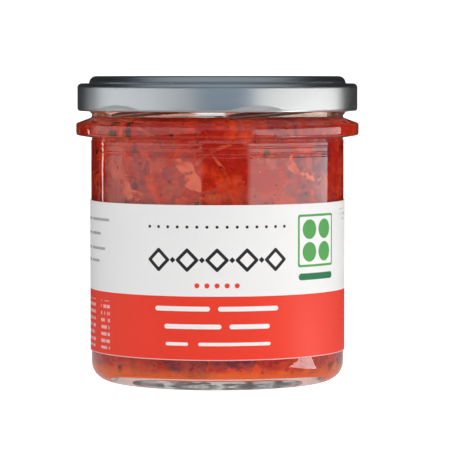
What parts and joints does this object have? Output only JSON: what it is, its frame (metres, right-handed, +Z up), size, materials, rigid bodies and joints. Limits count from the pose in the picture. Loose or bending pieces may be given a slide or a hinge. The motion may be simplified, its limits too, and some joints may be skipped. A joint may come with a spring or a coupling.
{
  "type": "kimchi jar",
  "caption": "Filled glass food jar with a stacking ring under the neck, a steel twist-off cap held by lugs, a wrap-round paper label, and cut cabbage packed inside.",
  "frame": {"origin": "centre of the jar's resting ring, on the surface that it stands on", "axes": "+Z up along the jar's axis, -Y out of the front of the label"},
  "size_m": [0.0872, 0.0872, 0.0938],
  "materials": {
    "glass": "clear, smooth",
    "cap_steel": "satin silver lacquer over tinplate",
    "label_paper": "matt coated paper, white above and red below",
    "kimchi": "wet, red-orange, packed cut cabbage"
  },
  "bodies": {
    "root": {"jar": "glass", "lid": "cap_steel", "label": "label_paper", "kimchi": "kimchi"}
  },
  "joints": []
}
